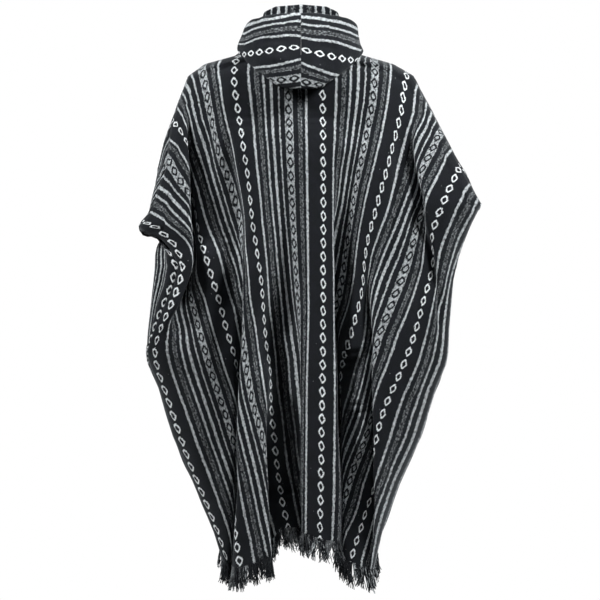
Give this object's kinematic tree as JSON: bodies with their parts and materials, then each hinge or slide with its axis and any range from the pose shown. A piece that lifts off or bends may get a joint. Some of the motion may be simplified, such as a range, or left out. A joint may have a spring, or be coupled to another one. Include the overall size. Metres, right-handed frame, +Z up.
{
  "type": "hooded poncho",
  "caption": "Long hooded poncho worn and hollow: striped back and front panels, folded-down hood, upright neck band and fringed hems.",
  "frame": {"origin": "between the wearer's shoulders, at shoulder height, where the garment is carried", "axes": "+Z up, the wearer's back faces -Y and the chest +Y, +X is to the right when seen from behind"},
  "size_m": [0.7392, 0.3139, 1.2682],
  "materials": {
    "striped_cotton": "brushed, matte",
    "hood_cotton": "brushed, matte",
    "fringe_cotton": "loose twisted yarns, matte"
  },
  "bodies": {
    "root": {"back_panel": "striped_cotton", "front_panel": "striped_cotton", "hood_left": "hood_cotton", "hood_right": "hood_cotton", "front_band_left": "hood_cotton", "front_band_right": "hood_cotton", "back_fringe": "fringe_cotton", "front_fringe": "fringe_cotton"}
  },
  "joints": []
}
